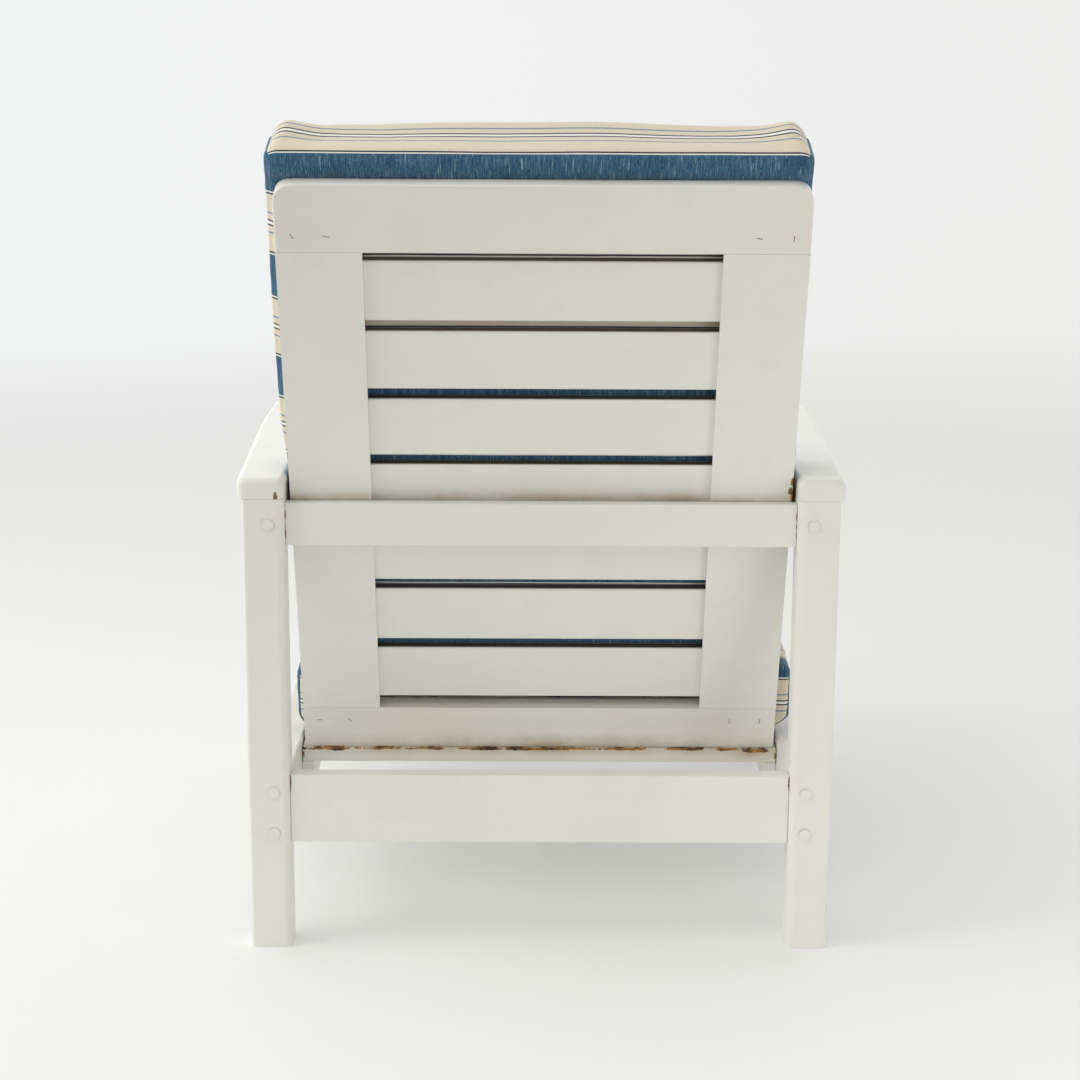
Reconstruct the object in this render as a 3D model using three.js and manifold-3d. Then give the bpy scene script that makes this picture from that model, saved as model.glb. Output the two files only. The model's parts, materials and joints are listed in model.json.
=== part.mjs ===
// A slatted wooden patio armchair with two loose box cushions.
// Millimetres, +Z up, the sitter faces -Y, so the sitter's left is +X.
// The origin is on the floor, under the middle of the chair's bounding box.
import * as THREE from "three";
import { mergeVertices } from "three/addons/utils/BufferGeometryUtils.js";
import Module from "manifold-3d";

const wasm = await Module();
wasm.setup();

// ---- Driving dimensions -------------------------------------------------------------
// Depths are measured forward from the rear faces of the rear posts.
const FRAME_WIDTH = 700; // across the legs' outer faces
const FRAME_DEPTH = 785; // rear post's rear face to front leg's front face
const LEG_WIDTH = 50;
const LEG_DEPTH = 42;
const LEG_HEIGHT = 555;
const EDGE = 4; // round-over of the boards' long edges

const ARM_THICKNESS = 25;
const ARM_FRONT = 810; // depth of the arm's front end
const ARM_OUTER = [[0, 355.5], [130, 360.5], [300, 369.5], [420, 376.5], [530, 379],
  [650, 377], [750, 368]]; // depth and half width along the arm's bowed outer edge
const ARM_CORNER = 30; // radius of the front outer corner
const ARM_EDGE = 5; // round-over of the arm's edges

const RAIL_BOTTOM = 132;
const RAIL_TOP = 217;
const RAIL_THICKNESS = 22;
const RAIL_RECESS = 8; // a cross rail stands back from the legs' faces by this
const SIDE_RAIL_THICKNESS = 38;
const ARM_RAIL_HEIGHT = 55;
const SUPPORT_BOTTOM = 498;
const SUPPORT_TOP = 549;
const SUPPORT_SPAN = [10, 30]; // depths of the back support rail's two faces

const SEAT_SLOPE = THREE.MathUtils.degToRad(7);
const SEAT_REAR = 145; // depth of the seat's rear top edge
const SEAT_REAR_HEIGHT = 207.2;
const SEAT_LENGTH = 655; // along the slope
const SEAT_SLATS = 8;
const SEAT_SLAT_WIDTH = 73;
const SEAT_SLAT_THICKNESS = 19;
const SEAT_HALF_WIDTH = 297;
const CLEAT = { thickness: 15, height: 40, length: 604 };

const BACK_TILT = THREE.MathUtils.degToRad(19.26); // from vertical
const BACK_LENGTH = 756.5;
const BACK_HALF_WIDTH = 295.4;
const BACK_THICKNESS = 20;
const BACK_BOTTOM_HEIGHT = 208.3; // the panel's rear bottom edge stands on the first slat
const BACK_BOTTOM_DEPTH = 149.9;
const STILE_WIDTH = 95.7;
const TOP_RAIL_HEIGHT = 79.6;
const BOTTOM_RAIL_HEIGHT = 59.7;
const BACK_CORNER = 23;
const BACK_SLATS = 7;
const BACK_SLAT_WIDTH = 73.3;
const BACK_SLAT_THICKNESS = 13;
const SLAT_LAP = 40; // how far a slat's end runs into the stile's rebate

const CUSHION_HALF_WIDTH = 297.5;
const CUSHION_ROUND = 17; // bulge of the cushions at their sides
const CUSHION_CORNER = 36;
const SEAT_CUSHION = { rear: -27, front: -645, thickness: 105 };
const BACK_CUSHION = { above: 35, thickness: 100, restHeight: 323 };

const FIT = 0.3; // clearance between pieces that meet inside a turned group
const SCREW = { head: 4.4, shank: 2, length: 16 };
const PLUG = { radius: 6, length: 9, dome: 0.6 };
const PLUG_X = 319; // the plugs sit on the side rails' centre line
const PLUG_HEIGHTS = { upper: 525, middle: 197, lower: 146 };

// ---- Where things come from the dimensions ------------------------------------------
const HALF_FRAME = FRAME_WIDTH / 2;
const INNER = HALF_FRAME - LEG_WIDTH; // half the clear width between the legs
const BACK_TOP_DEPTH = BACK_BOTTOM_DEPTH - BACK_LENGTH * Math.sin(BACK_TILT);
const BACK_TOP_HEIGHT = BACK_BOTTOM_HEIGHT + BACK_LENGTH * Math.cos(BACK_TILT);
const MIDDLE_DEPTH = (ARM_FRONT + BACK_TOP_DEPTH) / 2;
const yAt = (depth) => MIDDLE_DEPTH - depth;
const ySpan = (rear, front) => [yAt(front), yAt(rear)];

// ---- Materials ----------------------------------------------------------------------
const standard = (color, roughness, metalness = 0) =>
  new THREE.MeshStandardMaterial({ color, roughness, metalness });
const paint = standard("#e2e0d6", 0.5);
const paintedMetal = standard("#dcdacf", 0.45, 0.2);
const ticking = standard("#8fa6bd", 0.95);

// ---- Shapes -------------------------------------------------------------------------
const AXES = [new THREE.Vector3(1, 0, 0), new THREE.Vector3(0, 1, 0), new THREE.Vector3(0, 0, 1)];

// An outline through the corners, each one eased by a curve that starts `radius` away.
function easedOutline(corners, radius) {
  const shape = new THREE.Shape();
  const points = corners.map(([x, y]) => new THREE.Vector2(x, y));
  points.forEach((corner, i) => {
    const before = points[(i + points.length - 1) % points.length];
    const after = points[(i + 1) % points.length];
    const r = Array.isArray(radius) ? radius[i] : radius;
    const start = corner.clone().add(before.clone().sub(corner).setLength(r));
    const end = corner.clone().add(after.clone().sub(corner).setLength(r));
    if (i === 0) shape.moveTo(start.x, start.y);
    else shape.lineTo(start.x, start.y);
    if (r > 0) shape.quadraticCurveTo(corner.x, corner.y, end.x, end.y);
  });
  shape.closePath();
  return shape;
}

// Extrudes an outline drawn on axes u and v along the third one, from `from` to `to`.
function prism(shape, along, from, to, options = {}) {
  const bevel = options.bevel ?? 0;
  const geometry = new THREE.ExtrudeGeometry(shape, {
    depth: to - from - 2 * bevel,
    curveSegments: options.segments ?? 3,
    bevelEnabled: bevel > 0,
    bevelThickness: bevel,
    bevelSize: bevel,
    bevelOffset: -bevel,
    bevelSegments: 3,
  });
  const turn = new THREE.Matrix4().makeBasis(
    AXES[(along + 1) % 3],
    AXES[(along + 2) % 3],
    AXES[along],
  );
  geometry.translate(0, 0, from + bevel);
  return geometry.applyMatrix4(turn);
}

// A board between two limits on each axis, its long edges rounded over.
function board(x, y, z, edge = EDGE) {
  const spans = [x, y, z];
  const sizes = spans.map(([a, b]) => b - a);
  const along = sizes.indexOf(Math.max(...sizes));
  const [u0, u1] = spans[(along + 1) % 3];
  const [v0, v1] = spans[(along + 2) % 3];
  const section = easedOutline([[u0, v0], [u1, v0], [u1, v1], [u0, v1]], edge);
  return prism(section, along, ...spans[along]);
}

// A turned piece on the line through (x, z), its axis along Y and its head at y.
// The profile lists radius and distance in from the head; `facing` is the head's way out.
function turned(profile, x, y, z, facing) {
  const points = profile.map(([radius, inward]) => new THREE.Vector2(radius, -inward));
  const geometry = new THREE.LatheGeometry(points.reverse(), 20);
  if (facing < 0) geometry.rotateX(Math.PI);
  return geometry.translate(x, y, z);
}

const box = ([x0, x1], [y0, y1], [z0, z1]) =>
  new THREE.BoxGeometry(x1 - x0, y1 - y0, z1 - z0)
    .translate((x0 + x1) / 2, (y0 + y1) / 2, (z0 + z1) / 2);

// ---- Solids for cutting -------------------------------------------------------------
function solid(geometry) {
  const bare = geometry.clone();
  bare.deleteAttribute("normal");
  bare.deleteAttribute("uv");
  const merged = mergeVertices(bare, 1e-3);
  return new wasm.Manifold(new wasm.Mesh({
    numProp: 3,
    vertProperties: merged.attributes.position.array,
    triVerts: new Uint32Array(merged.index.array),
  }));
}

function geometryOf(manifold) {
  const mesh = manifold.getMesh();
  const geometry = new THREE.BufferGeometry();
  geometry.setAttribute("position", new THREE.BufferAttribute(mesh.vertProperties, 3));
  geometry.setIndex(new THREE.BufferAttribute(mesh.triVerts, 1));
  geometry.computeVertexNormals();
  return geometry;
}

const cut = (geometry, tools) =>
  geometryOf(tools.reduce((rest, tool) => rest.subtract(solid(tool)), solid(geometry)));

// ---- The chair ----------------------------------------------------------------------
const chair = new THREE.Group();
const SIDES = [["left", 1], ["right", -1]];

function add(parent, name, geometry, material) {
  const mesh = new THREE.Mesh(geometry, material);
  mesh.name = name;
  parent.add(mesh);
}

const mirrored = (side, [inner, outer]) => (side > 0 ? [inner, outer] : [-outer, -inner]);

// Plugs cover the screws that hold each leg to its arm rail and side rail.
const plugProfile = (radius) => [
  [0, -PLUG.dome], [radius * 0.7, -PLUG.dome * 0.6], [radius, 0], [radius, PLUG.length],
  [0, PLUG.length]];
const plugBore = (x, y, z, facing) =>
  turned([[0, -2], [PLUG.radius + FIT, -2], [PLUG.radius + FIT, PLUG.length + FIT],
    [0, PLUG.length + FIT]], x, y, z, facing);

function addLeg(prefix, rear, facing) {
  const faceY = facing > 0 ? yAt(rear) : yAt(rear + LEG_DEPTH);
  for (const [label, side] of SIDES) {
    const post = board(mirrored(side, [INNER, HALF_FRAME]), ySpan(rear, rear + LEG_DEPTH),
      [0, LEG_HEIGHT], 6);
    const x = side * PLUG_X;
    const bores = Object.values(PLUG_HEIGHTS).map((z) => plugBore(x, faceY, z, facing));
    add(chair, `${prefix}_${label}`, cut(post, bores), paint);
    for (const [place, z] of Object.entries(PLUG_HEIGHTS))
      add(chair, `${prefix}_${label}_${place}_plug`,
        turned(plugProfile(PLUG.radius), x, faceY, z, facing), paint);
  }
}

function addArms() {
  const outer = new THREE.SplineCurve(ARM_OUTER.map(([d, x]) => new THREE.Vector2(x, d)));
  for (const [label, side] of SIDES) {
    const edge = outer.getPoints(16).map((p) => [p.x, p.y]);
    const [lastX] = edge.at(-1);
    const corners = [[INNER, 0], ...edge, [lastX - 8, ARM_FRONT], [INNER, ARM_FRONT]]
      .map(([x, depth]) => [side * x, yAt(depth)]);
    const radii = [12, 12, ...edge.slice(2).map(() => 0), 0, ARM_CORNER, 10];
    const plan = easedOutline(corners, radii);
    const arm = prism(plan, 2, LEG_HEIGHT, LEG_HEIGHT + ARM_THICKNESS, { bevel: ARM_EDGE, segments: 4 });
    add(chair, `armrest_${label}`, arm, paint);
    add(chair, `arm_rail_${label}`,
      board(mirrored(side, [INNER, INNER + SIDE_RAIL_THICKNESS]),
        ySpan(LEG_DEPTH, FRAME_DEPTH - LEG_DEPTH), [LEG_HEIGHT - ARM_RAIL_HEIGHT, LEG_HEIGHT]), paint);
  }
}

function addRails() {
  const across = [-INNER, INNER];
  for (const [label, side] of SIDES)
    add(chair, `side_rail_${label}`,
      board(mirrored(side, [INNER, INNER + SIDE_RAIL_THICKNESS]),
        ySpan(LEG_DEPTH, FRAME_DEPTH - LEG_DEPTH), [RAIL_BOTTOM, RAIL_TOP]), paint);
  add(chair, "rear_lower_rail",
    board(across, ySpan(RAIL_RECESS, RAIL_RECESS + RAIL_THICKNESS), [RAIL_BOTTOM, RAIL_TOP], 2), paint);
  add(chair, "back_support_rail",
    board(across, ySpan(...SUPPORT_SPAN), [SUPPORT_BOTTOM, SUPPORT_TOP], 2), paint);
  const front = FRAME_DEPTH - RAIL_RECESS;
  const rear = front - RAIL_THICKNESS;
  const apronTop = (depth) => SEAT_REAR_HEIGHT - FIT + (depth - SEAT_REAR) * Math.tan(SEAT_SLOPE)
    - (SEAT_SLAT_THICKNESS + FIT) / Math.cos(SEAT_SLOPE);
  const profile = easedOutline([[yAt(front), RAIL_BOTTOM], [yAt(rear), RAIL_BOTTOM],
    [yAt(rear), apronTop(rear)], [yAt(front), apronTop(front)]], 2);
  add(chair, "front_apron", prism(profile, 0, ...across), paint);
}

// The seat slopes down to the rear: local y = 0, z = 0 is its rear top edge.
function addSeat() {
  const seat = new THREE.Group();
  seat.position.set(0, yAt(SEAT_REAR), SEAT_REAR_HEIGHT);
  seat.rotation.x = -SEAT_SLOPE;
  chair.add(seat);
  const pitch = (SEAT_LENGTH - SEAT_SLAT_WIDTH) / (SEAT_SLATS - 1);
  for (let i = 0; i < SEAT_SLATS; i++)
    add(seat, `seat_slat_${i + 1}`,
      board([-SEAT_HALF_WIDTH, SEAT_HALF_WIDTH],
        [-i * pitch - SEAT_SLAT_WIDTH, -i * pitch], [-SEAT_SLAT_THICKNESS, 0], 3), paint);
  const cleatTop = -SEAT_SLAT_THICKNESS - FIT;
  for (const [label, side] of SIDES)
    add(seat, `seat_cleat_${label}`,
      board(mirrored(side, [INNER - CLEAT.thickness, INNER]), [-CLEAT.length, -2],
        [cleatTop - CLEAT.height, cleatTop], 2), paint);
  const { rear, front, thickness } = SEAT_CUSHION;
  const profile = easedOutline([[front, FIT], [rear, FIT], [rear, thickness], [front, thickness]],
    CUSHION_CORNER);
  add(seat, "seat_cushion",
    prism(profile, 0, -CUSHION_HALF_WIDTH, CUSHION_HALF_WIDTH, { bevel: CUSHION_ROUND }), ticking);
}

// The back leans to the rear: local y = 0 is its rear face, z = 0 its top edge.
function addBack() {
  const back = new THREE.Group();
  back.position.set(0, yAt(BACK_TOP_DEPTH), BACK_TOP_HEIGHT);
  back.rotation.x = -BACK_TILT;
  chair.add(back);

  const half = BACK_HALF_WIDTH;
  const opening = half - STILE_WIDTH;
  const through = [-BACK_THICKNESS, 0];
  const lap = -BACK_THICKNESS / 2; // the corner half laps meet at half thickness
  const bottomRailTop = -BACK_LENGTH + BOTTOM_RAIL_HEIGHT;
  const outline = prism(easedOutline([[0, -half], [0, half], [-BACK_LENGTH, half],
    [-BACK_LENGTH, -half]], [BACK_CORNER, BACK_CORNER, 3, 3]), 1, ...through, { segments: 6 });
  const shaped = (geometry) => geometryOf(solid(geometry).intersect(solid(outline)));

  const screwRows = [["top", -61, 0], ["bottom", -716, 0]];
  const screws = screwRows.flatMap(([row, z]) => SIDES.flatMap(([label, side]) =>
    [["outer", 276], ["inner", 238]].map(([place, x]) =>
      ({ name: `back_screw_${row}_${label}_${place}`, x: side * x, z }))));
  const sunk = 0.4; // the heads lie just under the painted face
  const screwProfile = (gap) => [
    [0, gap ? -3 : 0], [SCREW.head + gap, gap ? -3 : 0], [SCREW.head + gap, 1],
    [SCREW.shank + gap, 3.5], [SCREW.shank + gap, SCREW.length + gap], [0, SCREW.length + gap]];
  const bores = screws.map(({ x, z }) => turned(screwProfile(FIT), x, -sunk, z, 1));
  for (const { name, x, z } of screws) {
    const slot = box([x - 6, x + 6], [-sunk - 1, 1], [z - 0.6, z + 0.6]);
    add(back, name, cut(turned(screwProfile(0), x, -sunk, z, 1), [slot]), paintedMetal);
  }

  const cheeks = (z) => SIDES.map(([, side]) =>
    box(mirrored(side, [opening - FIT, half + 1]), [-BACK_THICKNESS - 1, lap], z));
  const topRail = box([-half, half], through, [-TOP_RAIL_HEIGHT, 0]);
  const bottomRail = box([-half, half], through, [-BACK_LENGTH, bottomRailTop]);
  add(back, "back_top_rail",
    cut(shaped(topRail), [...cheeks([-TOP_RAIL_HEIGHT - 1, 1]), ...bores]), paint);
  add(back, "back_bottom_rail",
    cut(shaped(bottomRail), [...cheeks([-BACK_LENGTH - 1, bottomRailTop + 1]), ...bores]), paint);

  const slatTop = -BACK_THICKNESS + BACK_SLAT_THICKNESS;
  for (const [label, side] of SIDES) {
    const stile = box(mirrored(side, [opening, half]), through, [-BACK_LENGTH, 0]);
    const past = mirrored(side, [opening - 1, half + 1]);
    const laps = [box(past, [lap - FIT, 1], [-TOP_RAIL_HEIGHT - FIT, 1]),
      box(past, [lap - FIT, 1], [-BACK_LENGTH - 1, bottomRailTop + FIT])];
    const rebate = box(mirrored(side, [opening - 1, opening + SLAT_LAP]),
      [-BACK_THICKNESS - 1, slatTop + FIT], [bottomRailTop, -TOP_RAIL_HEIGHT]);
    add(back, `back_stile_${label}`, cut(shaped(stile), [...laps, rebate, ...bores]), paint);
  }

  const clear = -TOP_RAIL_HEIGHT - bottomRailTop;
  const gap = (clear - BACK_SLATS * BACK_SLAT_WIDTH) / (BACK_SLATS + 1);
  const slatHalf = opening + SLAT_LAP - FIT;
  for (let i = 0; i < BACK_SLATS; i++) {
    const top = -TOP_RAIL_HEIGHT - gap - i * (BACK_SLAT_WIDTH + gap);
    add(back, `back_slat_${i + 1}`,
      board([-slatHalf, slatHalf], [-BACK_THICKNESS, slatTop], [top - BACK_SLAT_WIDTH, top], 2.5), paint);
  }

  // The back cushion leans on the panel and stands on the seat cushion, so its foot
  // lies along the seat's slope.
  const rearFace = -BACK_THICKNESS - FIT;
  const frontFace = rearFace - BACK_CUSHION.thickness;
  const rearFoot = (BACK_CUSHION.restHeight - BACK_TOP_HEIGHT - rearFace * Math.sin(-BACK_TILT))
    / Math.cos(BACK_TILT);
  const frontFoot = rearFoot - BACK_CUSHION.thickness * Math.tan(BACK_TILT - SEAT_SLOPE);
  const profile = easedOutline([[frontFace, frontFoot], [rearFace, rearFoot],
    [rearFace, BACK_CUSHION.above], [frontFace, BACK_CUSHION.above]], CUSHION_CORNER);
  add(back, "back_cushion",
    prism(profile, 0, -CUSHION_HALF_WIDTH, CUSHION_HALF_WIDTH, { bevel: CUSHION_ROUND }), ticking);
}

addLeg("rear_post", 0, 1);
addLeg("front_leg", FRAME_DEPTH - LEG_DEPTH, -1);
addArms();
addRails();
addSeat();
addBack();

export default chair;
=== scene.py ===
# The finished look of a slatted wooden patio armchair with two loose box cushions, built
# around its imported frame. Metres, +Z up, the sitter faces -Y.
import json
from math import atan2, cos, pi, radians, sin

import bmesh
import bpy
from mathutils import Matrix, Vector, noise


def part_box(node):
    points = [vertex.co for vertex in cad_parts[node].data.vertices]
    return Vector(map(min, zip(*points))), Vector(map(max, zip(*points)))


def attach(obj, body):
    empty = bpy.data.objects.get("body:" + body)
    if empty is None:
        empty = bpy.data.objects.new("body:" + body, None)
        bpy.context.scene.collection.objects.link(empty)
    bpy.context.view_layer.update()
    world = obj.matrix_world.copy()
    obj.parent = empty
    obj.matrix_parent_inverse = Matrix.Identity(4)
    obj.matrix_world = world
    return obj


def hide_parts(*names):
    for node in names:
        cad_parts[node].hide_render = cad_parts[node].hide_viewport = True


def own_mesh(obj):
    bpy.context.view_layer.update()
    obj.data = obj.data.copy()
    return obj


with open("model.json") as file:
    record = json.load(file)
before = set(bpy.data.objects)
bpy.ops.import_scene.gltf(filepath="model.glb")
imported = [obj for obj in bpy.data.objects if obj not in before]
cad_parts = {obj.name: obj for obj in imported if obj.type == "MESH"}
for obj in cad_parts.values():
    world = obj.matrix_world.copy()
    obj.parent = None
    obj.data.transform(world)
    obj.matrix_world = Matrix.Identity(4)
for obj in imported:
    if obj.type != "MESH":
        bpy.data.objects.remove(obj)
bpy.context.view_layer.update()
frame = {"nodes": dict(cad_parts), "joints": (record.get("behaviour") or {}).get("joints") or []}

MM = 0.001

# ---- Places taken from the frame ----------------------------------------------------
SLIDES = {joint["name"]: Vector(joint["axis"]) for joint in frame["joints"]}


def turned_axes(up):
    """Axes of a part leaning in the YZ plane: X across, Z along `up`, Y out to the rear."""
    across = Vector((1, 0, 0))
    return Matrix((across, up.cross(across), up)).transposed()


BACK_AXES = turned_axes(SLIDES["back_cushion_lift"])
SEAT_AXES = turned_axes(Vector((-1, 0, 0)).cross(SLIDES["seat_cushion_slide"]))


def local_box(node, axes):
    """The lowest and highest corner of a CAD node, measured along `axes`."""
    inverse = axes.transposed()
    points = [inverse @ v.co for v in frame["nodes"][node].data.vertices]
    return tuple(Vector(f(p[i] for p in points) for i in range(3)) for f in (min, max))


BACK_REAR = local_box("back_top_rail", BACK_AXES)[1].y
BACK_TOP = local_box("back_top_rail", BACK_AXES)[1].z


# ---- Node trees ---------------------------------------------------------------------
def linear(hex_colour, strength=1.0):
    """An sRGB hex value as linear RGBA, times a strength."""
    channels = [int(hex_colour[i:i + 2], 16) / 255 for i in (1, 3, 5)]
    channels = [c / 12.92 if c <= 0.04045 else ((c + 0.055) / 1.055) ** 2.4 for c in channels]
    return (*(c * strength for c in channels), 1)


class Tree:
    """The node tree of a material or a world, with one way to add a node."""

    def __init__(self, owner):
        owner.use_nodes = True
        self.owner = owner
        self.nodes = owner.node_tree.nodes
        self.links = owner.node_tree.links
        self.nodes.clear()

    def add(self, kind, inputs=None, out=0, **settings):
        """Adds a node. An input is a value or another node's output, and `out` picks its own."""
        node = self.nodes.new(kind)
        for key, value in settings.items():
            setattr(node, key, value)
        for key, value in (inputs or {}).items():
            if isinstance(value, bpy.types.NodeSocket):
                self.links.new(value, node.inputs[key])
            else:
                node.inputs[key].default_value = value
        return node.outputs[out] if len(node.outputs) else node


# ---- Painted wood -------------------------------------------------------------------
PAINT = linear("#ebebe6")
PAINT_WARM = linear("#e4dfcf")
PAINT_GREY = linear("#dddcd4")
# tan, for marks that are partly soiling and partly painted warm reflected light
TAN_STAIN_AND_BOUNCE = linear("#a5875a")
BARE_WOOD = linear("#b07f45")
DARK_WOOD = linear("#3d2614")
# painted shade, in a brown dirt tone, for the gaps between boards
GAP_SHADE_AND_GRIME = linear("#4d4433")

# Rotations that lay a board's length along the pattern's Z.
ALONG = {
    "x": (0, -pi / 2, 0),
    "y": (pi / 2, 0, 0),
    "z": (0, 0, 0),
    "back": (-atan2(SLIDES["back_cushion_lift"].y, SLIDES["back_cushion_lift"].z), 0, 0),
}


def painted_wood(name, along, chips=(), warmth=0.25, groove=None, stain_and_bounce=()):
    """Cream oil paint brushed on softwood: a satin skin with fine brush lines along the
    board, the grain telegraphing through, slight yellowing, and chips down to bare wood.
    `chips` lists (centre, reach) of places knocked or rubbed through, in metres. `groove` is
    (direction, start, end, front): painted shade, in a brown dirt tone, darkens the gaps between
    boards over distances along a direction, and stops short of their front.
    `stain_and_bounce` lists (centre, reach) of soft tan marks, partly real soiling and partly
    painted warm reflected light and shade."""
    t = Tree(bpy.data.materials.new(name))
    position = t.add("ShaderNodeTexCoord", out=3)
    board = t.add("ShaderNodeMapping", {"Vector": position, "Rotation": ALONG[along]})

    def streaks(width_mm, length_mm, detail, seed):
        """Noise drawn out along the board, from the width and length of one streak."""
        scaled = t.add("ShaderNodeMapping", {
            "Vector": board, "Location": (seed, seed * 0.7, 0),
            "Scale": (1 / (width_mm * MM), 1 / (width_mm * MM), 1 / (length_mm * MM))})
        return t.add("ShaderNodeTexNoise", {"Vector": scaled, "Scale": 1.0, "Detail": detail,
                                            "Roughness": 0.55})

    def reaching(centre, reach):
        """The distance from a centre, 1 at the end of its reach along each axis."""
        away = t.add("ShaderNodeVectorMath", {0: position, 1: centre}, operation="SUBTRACT")
        scaled = t.add("ShaderNodeVectorMath", {0: away, 1: tuple(1 / r for r in reach)},
                       operation="MULTIPLY")
        return t.add("ShaderNodeVectorMath", {0: scaled}, out=1, operation="LENGTH")

    brush = streaks(1.6, 90, 3.0, 0.0)
    lap = streaks(9, 240, 2.0, 3.1)
    grain = streaks(2.6, 160, 4.0, 7.7)
    cloud = t.add("ShaderNodeTexNoise", {"Vector": position, "Scale": 5.5, "Detail": 3.0})
    soil = t.add("ShaderNodeTexNoise", {"Vector": position, "Scale": 21.0, "Detail": 5.0,
                                        "Roughness": 0.65})
    crumbs = t.add("ShaderNodeTexNoise", {"Vector": position, "Scale": 260.0, "Detail": 4.0,
                                          "Roughness": 0.7})
    patch = t.add("ShaderNodeTexNoise", {"Vector": position, "Scale": 60.0, "Detail": 3.0})

    colour = PAINT
    for pattern, low, high, least, most, tint in (
            (cloud, 0.36, 0.66, 0.15 * warmth, warmth, PAINT_WARM),  # yellowed in clouds
            (soil, 0.52, 0.78, 0.0, 0.30, PAINT_GREY),               # greyed by handling
            (grain, 0.54, 0.74, 0.0, 0.22, PAINT_WARM)):             # thin over the grain
        share = t.add("ShaderNodeMapRange", {0: pattern, 1: low, 2: high, 3: least, 4: most})
        colour = t.add("ShaderNodeMix", {0: share, 6: colour, 7: tint}, out=2, data_type="RGBA")
    # painted shade in the gaps between boards, darker the deeper in, in a brown dirt tone
    if groove:
        direction, shade_start, darkest, front = groove
        depth = t.add("ShaderNodeVectorMath", {0: position, 1: direction}, out=1,
                      operation="DOT_PRODUCT")
        gap_shade = t.add("ShaderNodeMapRange", {0: depth, 1: shade_start, 2: darkest})
        inside = t.add("ShaderNodeMapRange", {0: depth, 1: front + 1 * MM, 2: front + 3 * MM})
        gap_shade = t.add("ShaderNodeMath", {0: gap_shade, 1: inside}, operation="MULTIPLY")
        colour = t.add("ShaderNodeMix", {0: gap_shade, 6: colour, 7: GAP_SHADE_AND_GRIME}, out=2,
                       data_type="RGBA")
    # tan marks: partly soiling, partly painted warm reflected light and shade
    for centre, reach in stain_and_bounce:
        tint_reach = t.add("ShaderNodeMapRange", {0: reaching(centre, reach), 1: 1.0, 2: 0.1})
        blotches = t.add("ShaderNodeMapRange", {0: soil, 1: 0.32, 2: 0.64, 3: 0.15, 4: 0.62})
        stain_and_bounce_share = t.add("ShaderNodeMath", {0: tint_reach, 1: blotches}, operation="MULTIPLY")
        colour = t.add("ShaderNodeMix", {0: stain_and_bounce_share, 6: colour, 7: TAN_STAIN_AND_BOUNCE}, out=2,
                       data_type="RGBA")

    height = 0.0
    for pattern, depth in ((brush, 0.45), (lap, 0.8), (grain, 0.6)):
        height = t.add("ShaderNodeMath", {0: pattern, 1: depth, 2: height},
                       operation="MULTIPLY_ADD")
    rough = t.add("ShaderNodeMath", {0: soil, 1: 0.18, 2: 0.36}, operation="MULTIPLY_ADD")
    if chips:
        ragged = t.add("ShaderNodeMath", {0: crumbs, 1: 1.3}, operation="MULTIPLY")
        ragged = t.add("ShaderNodeMath", {0: patch, 1: 2.2, 2: ragged},
                       operation="MULTIPLY_ADD")
        bare = 0.0
        for centre, reach in chips:
            torn = t.add("ShaderNodeMath", {0: reaching(centre, reach), 1: ragged},
                         operation="ADD")
            spot = t.add("ShaderNodeMapRange", {0: torn, 1: 2.72, 2: 2.56})
            bare = t.add("ShaderNodeMath", {0: bare, 1: spot}, operation="MAXIMUM")
        fresh = t.add("ShaderNodeMapRange", {0: patch, 1: 0.32, 2: 0.56})
        wood = t.add("ShaderNodeMix", {0: fresh, 6: DARK_WOOD, 7: BARE_WOOD}, out=2,
                     data_type="RGBA")
        colour = t.add("ShaderNodeMix", {0: bare, 6: colour, 7: wood}, out=2,
                       data_type="RGBA")
        height = t.add("ShaderNodeMath", {0: bare, 1: -1.2, 2: height},
                       operation="MULTIPLY_ADD")
        rough = t.add("ShaderNodeMath", {0: bare, 1: 0.3, 2: rough}, operation="MULTIPLY_ADD")
    bump = t.add("ShaderNodeBump", {"Strength": 0.30, "Distance": 0.35 * MM, "Height": height})
    paint = t.add("ShaderNodeBsdfPrincipled", {
        "Base Color": colour, "Roughness": rough, "Normal": bump, "IOR": 1.5,
        "Coat Weight": 0.12, "Coat Roughness": 0.25})
    t.add("ShaderNodeOutputMaterial", {"Surface": paint})
    return t.owner


def rusty_slot():
    """The bottom of a screw's slot, where the paint has cracked and rust shows."""
    t = Tree(bpy.data.materials.new("rusted_slot"))
    position = t.add("ShaderNodeTexCoord", out=3)
    speckle = t.add("ShaderNodeTexNoise", {"Vector": position, "Scale": 900.0, "Detail": 3.0})
    flaked = t.add("ShaderNodeMapRange", {0: speckle, 1: 0.4, 2: 0.6})
    colour = t.add("ShaderNodeMix", {0: flaked, 6: linear("#6b4a33"), 7: linear("#b9a48a")},
                   out=2, data_type="RGBA")
    bump = t.add("ShaderNodeBump", {"Strength": 0.5, "Distance": 0.2 * MM, "Height": speckle})
    rust = t.add("ShaderNodeBsdfPrincipled", {"Base Color": colour, "Roughness": 0.8,
                                              "Normal": bump})
    t.add("ShaderNodeOutputMaterial", {"Surface": rust})
    return t.owner


# ---- Woven ticking ------------------------------------------------------------------
STRIPE_PERIOD = 126.5 * MM
DENIM_BAND = 50.5 * MM
THREAD = 1.1 * MM               # coarser than the cotton's own, so that the weave shows
WAVE_TURNS = 20                 # how many bands a wave texture draws in one unit
LINE_BLUR = 0.25                # mm either side of a line's edge, where its threads mix
CREAM = linear("#e6ddca")
CREAM_SHADE = linear("#d3c7ae")
DENIM = linear("#3f6f90")
DENIM_DARK = linear("#20425d")
DENIM_PALE = linear("#9dbccb")
NAVY = linear("#26324f")
SLATE = linear("#8093ae")
PALE = linear("#f2f0e8")


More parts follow.
